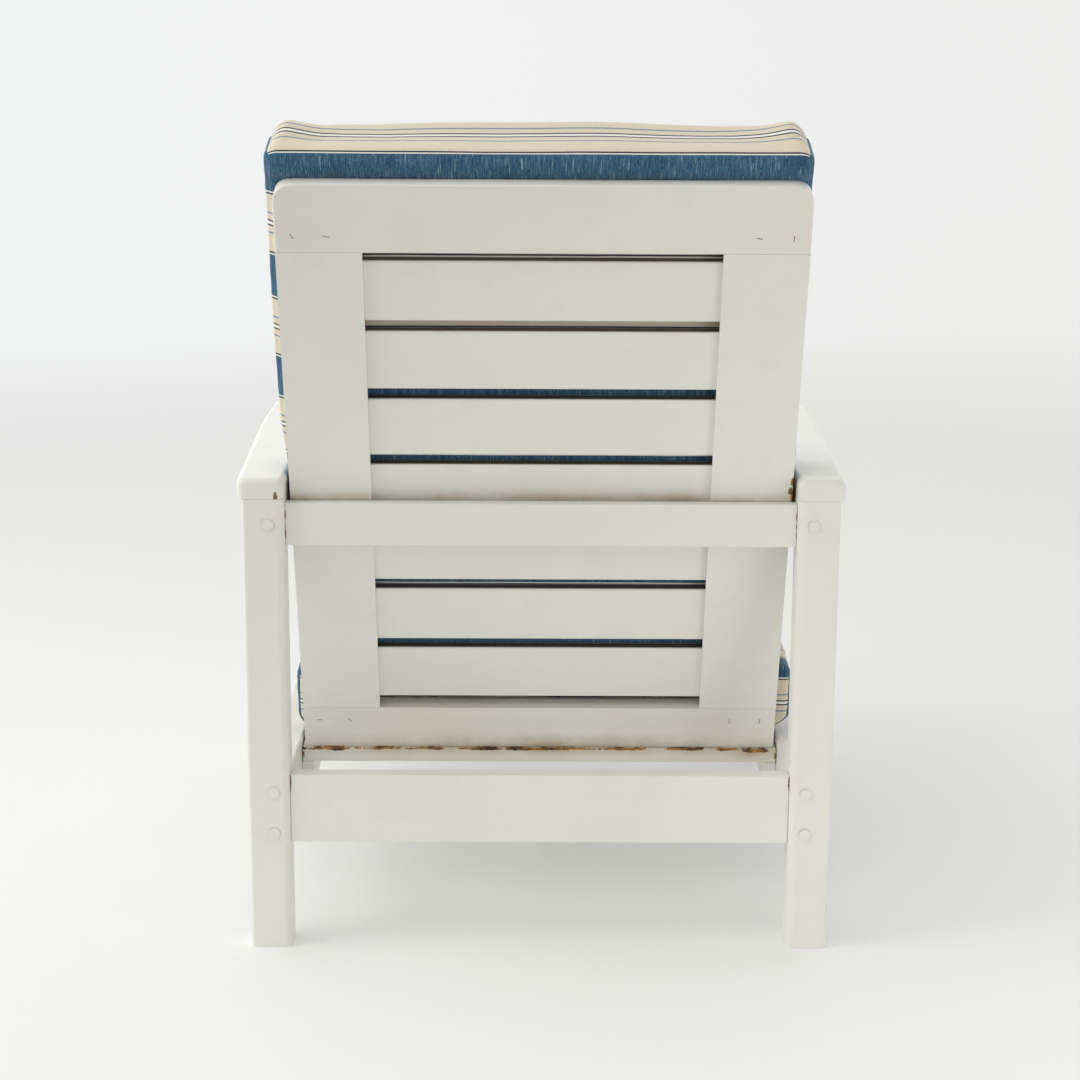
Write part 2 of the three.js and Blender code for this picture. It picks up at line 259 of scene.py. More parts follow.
def ticking():
    """Blue and cream cotton ticking: the warp-faced blue band is heathered with pale slubs
    that run across it, and fine navy and slate lines flank the cream. The map's V runs
    across the stripes and its U along them, both in metres."""
    t = Tree(bpy.data.materials.new("ticking_cotton"))
    cloth = t.add("ShaderNodeUVMap", uv_map="cloth")
    across = t.add("ShaderNodeSeparateXYZ", {0: cloth}, out=1)

    def weave(width_mm, length_mm, seed, detail):
        """Noise with threads of a width along the stripe and a length across it."""
        scaled = t.add("ShaderNodeMapping", {
            "Vector": cloth, "Location": (seed, seed * 1.3, seed * 0.4),
            "Scale": (1 / (width_mm * MM), 1 / (length_mm * MM), 1)})
        return t.add("ShaderNodeTexNoise", {"Vector": scaled, "Scale": 1.0, "Detail": detail,
                                            "Roughness": 0.6})

    wobble = t.add("ShaderNodeTexNoise", {"Vector": cloth, "Scale": 9.0, "Detail": 2.0})
    drift = t.add("ShaderNodeMath", {0: wobble, 1: 1.2 * MM, 2: -0.6 * MM},
                  operation="MULTIPLY_ADD")
    drawn = t.add("ShaderNodeMath", {0: across, 1: drift}, operation="ADD")
    turns = t.add("ShaderNodeMath", {0: drawn, 1: STRIPE_PERIOD}, operation="DIVIDE")
    part = t.add("ShaderNodeMath", {0: turns}, operation="FRACT")
    phase = t.add("ShaderNodeMath", {0: part, 1: STRIPE_PERIOD / MM}, operation="MULTIPLY")

    def line(at, width):
        """1 on a line of a width centred `at` mm into the repeat."""
        away = t.add("ShaderNodeMath", {0: phase, 1: at}, operation="SUBTRACT")
        off = t.add("ShaderNodeMath", {0: away}, operation="ABSOLUTE")
        return t.add("ShaderNodeMapRange", {0: off, 1: width / 2 + LINE_BLUR,
                                            2: width / 2 - LINE_BLUR})

    band = DENIM_BAND / MM
    repeat = STRIPE_PERIOD / MM
    middle = (band + repeat) / 2
    slub = weave(1.3, 17, 2.3, 3.0)
    heavy = weave(1.5, 22, 8.3, 1.0)
    fleck = weave(1.1, 3.2, 5.1, 3.0)
    shade = t.add("ShaderNodeTexNoise", {"Vector": cloth, "Scale": 26.0, "Detail": 3.0})

    denim = DENIM_DARK
    for pattern, low, high, most, tint in (
            (fleck, 0.36, 0.66, 1.0, DENIM), (slub, 0.46, 0.72, 0.34, DENIM_PALE),
            (shade, 0.45, 0.70, 0.40, DENIM_DARK), (heavy, 0.67, 0.72, 0.62, DENIM_PALE)):
        share = t.add("ShaderNodeMapRange", {0: pattern, 1: low, 2: high, 4: most})
        denim = t.add("ShaderNodeMix", {0: share, 6: denim, 7: tint}, out=2, data_type="RGBA")
    share = t.add("ShaderNodeMapRange", {0: fleck, 1: 0.35, 2: 0.70, 3: 0.35})
    natural = t.add("ShaderNodeMix", {0: share, 6: CREAM_SHADE, 7: CREAM}, out=2,
                    data_type="RGBA")
    colour = natural
    for at, width, tint in (
            (band / 2, band, denim),
            (band + 0.8, 1.6, PALE), (repeat - 0.8, 1.6, PALE),
            (band + 2.8, 2.0, NAVY), (repeat - 2.8, 2.0, NAVY),
            (middle - 11.5, 1.9, SLATE), (middle + 11.5, 1.9, SLATE), (middle, 3.4, PALE),
            (middle - 2.7, 1.8, NAVY), (middle + 2.7, 1.8, NAVY)):
        colour = t.add("ShaderNodeMix", {0: line(at, width), 6: colour, 7: tint}, out=2,
                       data_type="RGBA")

    weft, warp = (
        t.add("ShaderNodeTexWave", {"Vector": cloth, "Scale": 1 / THREAD / WAVE_TURNS,
                                    "Distortion": 0.6, "Detail": 1.0},
              out=1, bands_direction=direction) for direction in ("Y", "X"))
    height = 0.0
    for pattern, depth in ((weft, 0.5), (warp, 0.5), (slub, 0.8)):
        height = t.add("ShaderNodeMath", {0: pattern, 1: depth, 2: height},
                       operation="MULTIPLY_ADD")
    bump = t.add("ShaderNodeBump", {"Strength": 0.35, "Distance": 0.5 * MM, "Height": height})
    cotton = t.add("ShaderNodeBsdfPrincipled", {
        "Base Color": colour, "Roughness": 0.92, "Normal": bump, "Specular IOR Level": 0.2,
        "Sheen Weight": 0.25, "Sheen Roughness": 0.5})
    t.add("ShaderNodeOutputMaterial", {"Surface": cotton})
    return t.owner


# ---- Making pieces ------------------------------------------------------------------
SMOOTH_BELOW = radians(40)      # faces that meet at less than this shade as one
ARRIS_ANGLE = radians(50)       # an edge sharper than this is an arris


def placed(name, data):
    """A new object of the scene, at the origin."""
    made = bpy.data.objects.new(name, data)
    bpy.context.scene.collection.objects.link(made)
    return made


def finish_piece(bm, name, body, replaced, materials, weighted=True):
    """Turns a bmesh into a smooth-shaded piece that rides on a body for its CAD nodes."""
    mesh = bpy.data.meshes.new(name)
    for edge in bm.edges:
        edge.smooth = edge.calc_face_angle(0) < SMOOTH_BELOW
    bm.to_mesh(mesh)
    bm.free()
    for material in materials:
        mesh.materials.append(material)
    mesh.polygons.foreach_set("use_smooth", [True] * len(mesh.polygons))
    piece = placed(name, mesh)
    if weighted:  # keeps broad faces flat up to their round-overs
        normals = piece.modifiers.new("even_faces", "WEIGHTED_NORMAL")
        normals.weight = 100
        normals.keep_sharp = True
    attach(piece, body)
    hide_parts(*replaced)
    return piece


def welded(node):
    """A CAD node's solid as a bmesh, its loose triangles joined into flat faces."""
    bm = bmesh.new()
    bm.from_mesh(frame["nodes"][node].data)
    bmesh.ops.remove_doubles(bm, verts=bm.verts, dist=0.01 * MM)
    bmesh.ops.dissolve_limit(bm, angle_limit=radians(1), verts=bm.verts, edges=bm.edges)
    return bm


def points(geometry):
    """The vertices among what an operator has made."""
    return [g for g in geometry if isinstance(g, bmesh.types.BMVert)]


def round_over(bm, edges, radius, segments):
    """Rounds edges over to a radius."""
    bmesh.ops.bevel(bm, geom=edges, offset=radius, offset_type="OFFSET", affect="EDGES",
                    segments=segments, profile=0.5, material=-1, clamp_overlap=True)


def ease(bm, radius, chosen=lambda edge: True, segments=3):
    """Rounds over the arrises that `chosen` picks."""
    arrises = [e for e in bm.edges if e.calc_face_angle(0) > ARRIS_ANGLE and chosen(e)]
    round_over(bm, arrises, radius, segments)


def board(node, name, paint, radius=1.5 * MM, reach=0):
    """A node's board with eased arrises, drawn out by `reach` at both ends across the chair."""
    bm = welded(node)
    for vertex in bm.verts:
        vertex.co.x += reach if vertex.co.x > 0 else -reach
    ease(bm, radius)
    return finish_piece(bm, name, "frame", [node], [paint])


def disc(radius, segments, rings):
    """A disc on the XY plane. Each of its rings lies in by an inset and at a height, in mm."""
    bm = bmesh.new()
    bmesh.ops.create_circle(bm, cap_ends=True, radius=radius, segments=segments)
    face = bm.faces[:][0]
    for inset, height in rings:
        bmesh.ops.inset_region(bm, faces=[face], thickness=inset * MM, depth=0)
        bmesh.ops.translate(bm, vec=(0, 0, height * MM - face.verts[0].co.z),
                            verts=face.verts)
    return bm


def let_in(bm):
    """Runs a disc's rim down into the wood around it."""
    rim = [e for e in bm.edges if e.is_boundary]
    skirt = bmesh.ops.extrude_edge_only(bm, edges=rim)["geom"]
    bmesh.ops.translate(bm, vec=(0, 0, -0.3 * MM), verts=points(skirt))
    bmesh.ops.recalc_face_normals(bm, faces=bm.faces)


# ---- The wooden frame ---------------------------------------------------------------
POST_ROUND = 9 * MM             # the post's inner arris, which the arm's end carries on
POST_CORNER = 5 * MM            # its other three
SAWN_EDGE = 0.8 * MM            # and its ends
ARM_ROUND = 11 * MM             # the arm's upper arris
ARM_UNDERSIDE = 0.6 * MM        # and its lower one
SLAT_REACH = 2.2 * MM           # how far a seat slat's paint fills the gap to the side rail


def seat_rear_chips():
    """Where the back panel's foot has rubbed the rear seat slat through to the wood, and the tan
    marks along it, partly soiling and partly painted warm bounce light.
    """
    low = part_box("seat_slat_1")[0]
    high = SEAT_AXES @ local_box("seat_slat_1", SEAT_AXES)[1]
    line = high.z - 0.6 * MM
    rubbed = ((0.262, 30, 2.3), (0.205, 34, 1.7), (0.14, 30, 1.5), (0.08, 36, 1.6),
              (0.015, 30, 1.9), (-0.04, 30, 1.5), (-0.11, 34, 1.7), (-0.18, 32, 1.5),
              (-0.235, 26, 1.9))
    spots = [((x, high.y, line), (length * MM, 9 * MM, tall * MM)) for x, length, tall in rubbed]
    spots.append(((-0.274, high.y, line - 1.5 * MM), (17 * MM, 9 * MM, 2.7 * MM)))
    for x in (0.298, -0.298):
        spots.append(((x, high.y - 2 * MM, low.z + 9 * MM), (1.6 * MM, 7 * MM, 4 * MM)))
    stains_and_bounce = [((0, high.y, line), (0.5, 9 * MM, 11 * MM)),
              ((-0.27, high.y, line - 4 * MM), (40 * MM, 9 * MM, 12 * MM))]
    return spots, stains_and_bounce


def build_post(node, name, paint, sign):
    """An upright whose inner arris, on the chair's outside face, is rounded over generously."""
    low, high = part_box(node)
    rear = node.startswith("rear")
    bm = bmesh.new()
    bmesh.ops.create_cube(bm, size=1)
    bmesh.ops.scale(bm, vec=high - low, verts=bm.verts)
    middle = (low + high) / 2
    bmesh.ops.translate(bm, vec=middle, verts=bm.verts)
    inner, corners = [], []
    for e in bm.edges:
        away = (e.verts[0].co + e.verts[1].co) / 2 - middle
        if abs(e.verts[0].co.z - e.verts[1].co.z) < 1 * MM:
            continue
        if away.x * sign < 0 and (away.y > 0) == rear:
            inner.append(e)
        else:
            corners.append(e)
    round_over(bm, inner, POST_ROUND, 6)
    round_over(bm, corners, POST_CORNER, 4)
    ease(bm, SAWN_EDGE, segments=2)
    finish_piece(bm, name, "frame", [node], [paint])


def build_arm(node, name, paint):
    """An arm sawn to its outline, generously rounded over on top and crisp underneath."""
    low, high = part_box(node)
    bm = welded(node)
    bmesh.ops.bisect_plane(bm, geom=bm.verts[:] + bm.edges[:] + bm.faces[:],
                           plane_co=(0, 0, (low.z + high.z) / 2), plane_no=(0, 0, 1),
                           clear_inner=True, clear_outer=True)
    bmesh.ops.contextual_create(bm, geom=bm.edges[:])
    bmesh.ops.translate(bm, vec=(0, 0, (low.z - high.z) / 2), verts=bm.verts)
    made = bmesh.ops.extrude_face_region(bm, geom=bm.faces[:])
    bmesh.ops.translate(bm, vec=(0, 0, high.z - low.z), verts=points(made["geom"]))
    bmesh.ops.recalc_face_normals(bm, faces=bm.faces)
    top = [e for e in bm.edges if min(v.co.z for v in e.verts) > high.z - 1 * MM]
    bottom = [e for e in bm.edges if max(v.co.z for v in e.verts) < low.z + 1 * MM]
    round_over(bm, top, ARM_ROUND, 8)
    round_over(bm, bottom, ARM_UNDERSIDE, 2)
    finish_piece(bm, name, "frame", [node], [paint])


def build_plug(node, paint):
    """A dowel plug under the paint: a low button whose rim the paint has bridged."""
    low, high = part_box(node)
    radius = (high.x - low.x) / 2 + 0.9 * MM
    rear = high.y if node.startswith("rear") else low.y
    outward = 1 if node.startswith("rear") else -1
    bm = disc(radius, 48, ((0.5, 0.12), (0.5, 0.02), (0.5, 0.32), (0.5, 0.52), (2.2, 0.62)))
    let_in(bm)
    bmesh.ops.rotate(bm, matrix=Matrix.Rotation(-outward * pi / 2, 3, "X"), verts=bm.verts)
    middle = (low + high) / 2
    bmesh.ops.translate(bm, vec=(middle.x, rear + outward * 0.05 * MM, middle.z),
                        verts=bm.verts)
    finish_piece(bm, node.replace("_plug", "_dowel_plug"), "frame", [node],
                 [paint], weighted=False)


def build_frame():
    upright = painted_wood("cream_paint_on_uprights", "z")
    crosswise = painted_wood("cream_paint_on_cross_rails", "x")
    lengthwise = painted_wood("cream_paint_on_side_rails", "y")
    rubbed, stains_and_bounce = seat_rear_chips()
    # the rear slat's raised warmth and tan marks: painted warm bounce light from under the back
    # panel, partly real soiling
    rear_slat = painted_wood("rubbed_paint_on_rear_slat", "x", rubbed, 1.0, None, stains_and_bounce)
    rail_low, rail_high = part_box("rear_lower_rail")
    cracks = [((x, rail_high.y, rail_high.z - 9 * MM), (1.6 * MM, 3 * MM, 12 * MM))
              for x in (rail_low.x, rail_high.x)]
    rear_rail = painted_wood("cream_paint_on_rear_rail", "x", cracks)
    low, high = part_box("back_support_rail")
    cracks = [((x, high.y, high.z - drop * MM), (1.5 * MM, 3 * MM, 9 * MM))
              for x in (low.x, high.x) for drop in (12, 34)]
    support = painted_wood("cream_paint_on_support_rail", "x", cracks)
    for side in ("left", "right"):
        sign = 1 if side == "left" else -1
        build_post(f"rear_post_{side}", f"post_rear_{side}", upright, sign)
        build_post(f"front_leg_{side}", f"leg_front_{side}", upright, sign)
        board(f"side_rail_{side}", f"rail_side_{side}", lengthwise)
        board(f"arm_rail_{side}", f"rail_under_arm_{side}", lengthwise)
        board(f"seat_cleat_{side}", f"cleat_{side}", lengthwise)
        low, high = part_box(f"armrest_{side}")
        corner, wide = (0.3098, 2.3) if side == "left" else (0.3545, 1.8)
        chips = [((sign * corner, high.y, low.z + 3.5 * MM), (wide * MM, 5 * MM, 5 * MM))]
        arm_paint = painted_wood(f"cream_paint_on_{side}_arm", "y", chips, 0.2)
        build_arm(f"armrest_{side}", f"arm_{side}", arm_paint)
    board("rear_lower_rail", "rail_rear", rear_rail)
    board("back_support_rail", "rail_back_support", support)
    board("front_apron", "apron_front", crosswise)
    for i in range(1, 9):
        board(f"seat_slat_{i}", f"slat_seat_{i}", rear_slat if i == 1 else crosswise,
              reach=SLAT_REACH)
    for node in sorted(frame["nodes"]):
        if node.endswith("_plug"):
            build_plug(node, upright)


# The turn of each screw's slot in degrees: bottom left, bottom right, top left, top right,
# with the inner screw before the outer one in each.
SLOT_TURNS = (135, 2, 92, 78, 172, 125, 170, 85)


def build_back():
    inverse = BACK_AXES.transposed()
    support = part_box("back_support_rail")[1]
    # a tan band on the panel just above the support rail: painted shade and warm light reflected
    # off the rail, partly brown soiling
    crossbar_shade_and_soil = ((0, support.y - 30 * MM, support.z - 1 * MM), (3.0, 0.25, 13 * MM))
    foot = BACK_AXES @ Vector((0, BACK_REAR, local_box("back_bottom_rail", BACK_AXES)[0].z))
    knocks = [((x, support.y - 28 * MM, z), (3 * MM, 30 * MM, 6 * MM))
              for x, z in ((-0.2945, 0.575), (-0.2935, 0.562), (-0.2945, 0.553))]
    stile_paint = painted_wood("cream_paint_on_stiles", "back", knocks, 0.25, None, [crossbar_shade_and_soil])
    # the raised warmth, meant for the bottom rail, and the tan band at the panel's foot: painted
    # warm bounce light under the panel, partly soiling
    rail_paint = painted_wood("cream_paint_on_back_rails", "x", (), 0.6, None,
                              [(foot, (0.4, 0.05, 24 * MM))])
    slat_rear = local_box("back_slat_1", BACK_AXES)[1].y
    slat_front = local_box("back_slat_1", BACK_AXES)[0].y
    # painted shade, in a brown dirt tone, in the gaps between the back slats
    between = (tuple(BACK_AXES.col[1]), slat_rear - 1.0 * MM, slat_rear - 3.2 * MM, slat_front)
    slat_paint = painted_wood("cream_paint_on_back_slats", "x", (), 0.3, between)
    covered_slat = painted_wood("soiled_and_shaded_paint_over_support", "x", (), 0.4, between, [crossbar_shade_and_soil])
    joints = (BACK_TOP - local_box("back_top_rail", BACK_AXES)[0].z,
              BACK_TOP - local_box("back_bottom_rail", BACK_AXES)[1].z)

    pockets = [sum(local_box(node, BACK_AXES), Vector()) / 2 for node in frame["nodes"]
               if node.startswith("back_screw")]

    def kind(edge):
        """`seam` for the arrises that meet at a half lap, `hidden` for those inside it."""
        a, b = (inverse @ v.co for v in edge.verts)
        middle = (a + b) / 2
        if any((middle - pocket).xz.length < 7 * MM for pocket in pockets):
            return "hidden"
        if abs(BACK_REAR - 10 * MM - middle.y) < 4 * MM or abs(a.y - b.y) > 5 * MM:
            return "hidden"
        if any(abs(BACK_TOP - middle.z - joint) < 1 * MM for joint in joints):
            return "seam"
        return "seam" if abs(a.z - b.z) < 1 * MM and abs(a.x - b.x) < 6 * MM else "arris"

    for node, name, paint in (
            ("back_top_rail", "back_rail_top", rail_paint),
            ("back_bottom_rail", "back_rail_bottom", rail_paint),
            ("back_stile_left", "back_stile_l", stile_paint),
            ("back_stile_right", "back_stile_r", stile_paint)):
        bm = welded(node)
        kinds = {e: kind(e) for e in bm.edges}
        seams = {e for e, k in kinds.items() if k == "seam"}
        arrises = {e for e, k in kinds.items() if k == "arris"}
        ease(bm, 2.4 * MM, lambda e: e in arrises)
        ease(bm, 0.35 * MM, lambda e: e.is_valid and e in seams, 1)
        finish_piece(bm, name, "frame", [node], [paint])
    for i in range(1, 8):
        low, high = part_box(f"back_slat_{i}")
        over = low.z < support.z < high.z
        board(f"back_slat_{i}", f"slat_back_{i}", covered_slat if over else slat_paint)
    slot = rusty_slot()
    screws = sorted(n for n in frame["nodes"] if n.startswith("back_screw"))
    for turn, node in zip(SLOT_TURNS, screws):
        build_screw(node, radians(turn), rail_paint, slot)


def build_screw(node, turn, paint, slot_finish):
    """A countersunk slotted screw painted over with the panel, its slot cracked open."""
    low, high = local_box(node, BACK_AXES)
    centre, rear = (low + high) / 2, high.y
    radius = (high.x - low.x) / 2
    bm = disc(radius + 0.75 * MM, 40, ((0.7, 0.08), (0.5, -0.08), (1.2, -0.02)))
    half = radius * 0.78          # the slot stops short of the head's rim
    for place, direction in (((0, 0.5 * MM, 0), (0, 1, 0)), ((0, -0.5 * MM, 0), (0, 1, 0)),
                             ((half, 0, 0), (1, 0, 0)), ((-half, 0, 0), (1, 0, 0))):
        bmesh.ops.bisect_plane(bm, geom=bm.verts[:] + bm.edges[:] + bm.faces[:],
                               plane_co=place, plane_no=direction)
    groove = [f for f in bm.faces if abs(f.calc_center_median().x) < half - 0.1 * MM
              and abs(f.calc_center_median().y) < 0.3 * MM]
    made = bmesh.ops.extrude_face_region(bm, geom=groove)
    bmesh.ops.translate(bm, vec=(0, 0, -0.45 * MM), verts=points(made["geom"]))
    bmesh.ops.delete(bm, geom=groove, context="FACES")
    let_in(bm)
    for f in bm.faces:
        middle = f.calc_center_median()
        f.material_index = int(middle.z < -0.2 * MM and abs(middle.x) < half + 0.1 * MM)
    place = BACK_AXES @ Matrix.Rotation(-pi / 2, 3, "X") @ Matrix.Rotation(turn, 3, "Z")
    bmesh.ops.transform(bm, matrix=place.to_4x4(), verts=bm.verts)
    bmesh.ops.translate(bm, vec=BACK_AXES @ Vector((centre.x, rear + 0.25 * MM, centre.z)),
                        verts=bm.verts)
    finish_piece(bm, node.replace("back_screw", "wood_screw"), "frame", [node],
                 [paint, slot_finish], weighted=False)


# ---- Cushions -----------------------------------------------------------------------
CLOTH_CELL = 6.8 * MM           # the mean size of a cloth cell, which the edges halve
EDGE_CROWDING = 0.28            # how much the rows of cells crowd towards the edges
SEAM_DEPTH = 1.6 * MM
SEAM_REACH = 4.5 * MM           # how far to each side a seam draws the cloth in
HAND_DENTS = 1.6 * MM
RUCKS = 1.1 * MM                # the small gathers beside a seam
RUCK_REACH = 26 * MM
BACK_CROWN = 22 * MM            # how much the back cushion's front swells in its middle
SEAT_CROWN = 22 * MM            # and the seat cushion's top, where it lies in the open
SEAT_SIDES = 15 * MM            # and its boxings
CROWN_REACH = 0.14              # how far in from a seam a crown is at its full height
TOP_ROLL = 22 * MM              # how far the back cushion's top boxing rises and then rolls over
SEAT_SPILL = 18 * MM            # how far the seat cushion spills out over the side rails
SEAT_SHIFT = 6 * MM             # and how much further on the sitter's right


def smooth_step(low, high, value):
    """0 at `low`, 1 at `high` and level at both, whichever of them is the larger."""
    x = min(1.0, max(0.0, (value - low) / (high - low)))
    return x * x * (3 - 2 * x)


class Block:
    """A foam block's cover: a grid of cells over a box, in the box's own axes. `flat` keeps
    each point's place on the sharp box, which seams, stripes and limits are worked out from."""

    def __init__(self, low, high, radii):
        self.low, self.high = low, high
        self.centre, self.half = (low + high) / 2, (high - low) / 2
        self.bm = bmesh.new()
        size = high - low
        bmesh.ops.create_cube(self.bm, size=1)
        bmesh.ops.scale(self.bm, vec=size, verts=self.bm.verts)
        bmesh.ops.translate(self.bm, vec=self.centre, verts=self.bm.verts)
        for axis in range(3):
            whole = [e for e in self.bm.edges
                     if abs((e.verts[0].co - e.verts[1].co)[axis]) > size[axis] / 2]
            bmesh.ops.subdivide_edges(self.bm, edges=whole, use_grid_fill=True,
                                      cuts=round(size[axis] / CLOTH_CELL))
        for vertex in self.bm.verts:
            for axis in range(3):
                t = (vertex.co[axis] - self.centre[axis]) / self.half[axis]
                t *= 1 + EDGE_CROWDING * (1 - t * t)
                vertex.co[axis] = self.centre[axis] + t * self.half[axis]
        self.bm.verts.index_update()
        self.flat = [v.co.copy() for v in self.bm.verts]
        self.bm.normal_update()
        self.facing = [f.normal.copy() for f in self.bm.faces]
        for vertex in self.bm.verts:
            vertex.co = self.rounded(vertex.co, radii)

    def rounded(self, point, radii):
        """A point of the sharp box moved onto its rounded edges and corners."""
        out = Vector(point)
        over = Vector((0, 0, 0))
        for axis in range(3):
            reach = abs(point[axis] - self.centre[axis]) - self.half[axis] + radii[axis]
            over[axis] = max(0.0, reach / radii[axis])
        if sum(o > 0 for o in over) < 2:
            return out
        over.normalize()
        for axis in range(3):
            if over[axis] > 0:
                side = 1 if point[axis] > self.centre[axis] else -1
                inner = self.half[axis] - radii[axis]
                out[axis] = self.centre[axis] + side * (inner + radii[axis] * over[axis])
        return out

    def inset(self, point, axis):
        """How far a flat point lies in from the nearer of the box's two faces on an axis."""
        return self.half[axis] - abs(point[axis] - self.centre[axis])


def stuff(piece, most):
    """Inflates a closed cover with Blender's Cloth. Point i moves at most most[i]."""
    scene = bpy.context.scene
    rest = [v.co.copy() for v in piece.data.vertices]
    cloth = piece.modifiers.new("stuffing", "CLOTH")
    cloth.settings.quality = 6
    cloth.settings.mass = 0.3
    cloth.settings.use_pressure = True
    cloth.settings.uniform_pressure_force = 4.0
    cloth.settings.effector_weights.gravity = 0
    cloth.settings.tension_stiffness = 12
    cloth.settings.compression_stiffness = 12
    cloth.settings.shear_stiffness = 6
    cloth.settings.bending_stiffness = 0.5
    for step in range(1, 21):
        scene.frame_set(step)
    moved = piece.evaluated_get(bpy.context.evaluated_depsgraph_get()).data.vertices
    steps = [v.co - start for v, start in zip(moved, rest)]
    piece.modifiers.remove(cloth)
    scene.frame_set(1)
    for vertex, start, step, limit in zip(piece.data.vertices, rest, steps, most):
        if step.length > limit:
            step = step * (limit / step.length)
        vertex.co = start + step


def wrap_stripes(block, mesh, along, across, forward, phase):
    """Lays the cloth's map in metres: V runs down the two large faces and on round the four
    sides, and over each end boxing from the face that `forward` looks away from."""
    layer = mesh.uv_layers.new(name="cloth")
    start, end = block.high[along], block.low[along]
    if forward > 0:
        start, end = end, start
    face = block.high[across]
    for polygon, normal in zip(mesh.polygons, block.facing):
        for loop in polygon.loop_indices:
            p = block.flat[mesh.loops[loop].vertex_index]
            v = abs(p[along] - start)
            u = p.x
            if abs(normal.x) > 0.5:
                u = p.x + (face - p[across]) * (1 if normal.x > 0 else -1)
            elif abs(normal[along]) > 0.5:
                depth = face - p[across]
                v = -depth if abs(p[along] - start) < block.half[along] else v + depth
            layer.data[loop].uv = (u + 1, v + phase)


def cushion(name, node, body, axes, fabric, low, high, radii, along, across, forward, phase,
            most, shape, limit):
    """A boxed cushion. `most` says how far a flat point may swell, `shape` is how its foam is
    off the plain box there, and `limit` holds it clear of what it lies on or between."""
    block = Block(low, high, radii)
    mesh = bpy.data.meshes.new(name)
    block.bm.to_mesh(mesh)
    block.bm.free()
    piece = placed(name, mesh)
    mesh.materials.append(fabric)
    wrap_stripes(block, mesh, along, across, forward, phase)
    stuff(piece, [most(block, p) for p in block.flat])
    normals = [v.normal.copy() for v in mesh.vertices]
    for i, (vertex, flat) in enumerate(zip(mesh.vertices, block.flat)):
        insets = sorted((block.inset(flat, axis), axis) for axis in range(3))
        near = insets[1][0]
        folded = {insets[0][1], insets[1][1]} == {along, across}
        sewn = not (folded and abs(flat[across] - block.high[across]) < 30 * MM)
        point = vertex.co.copy()
        dents = noise.noise(flat * 9.0 + Vector((phase * 31, 0, 0))) * HAND_DENTS
        ruck = noise.noise(flat * 70.0 + Vector((0, phase * 17, 0)))
        gather = ruck * RUCKS * (1 - smooth_step(0, RUCK_REACH, near)) if sewn else 0
        groove = SEAM_DEPTH * (1 - smooth_step(0, SEAM_REACH, near)) if sewn else 0
        point += normals[i] * (dents + gather - groove)
        vertex.co = axes @ limit(point + shape(block, flat))
    mesh.update()
    mesh.shade_smooth()
    finer = piece.modifiers.new("finer_cloth", "SUBSURF")
    finer.levels = finer.render_levels = 1
    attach(piece, body)
    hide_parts(node)
    return piece


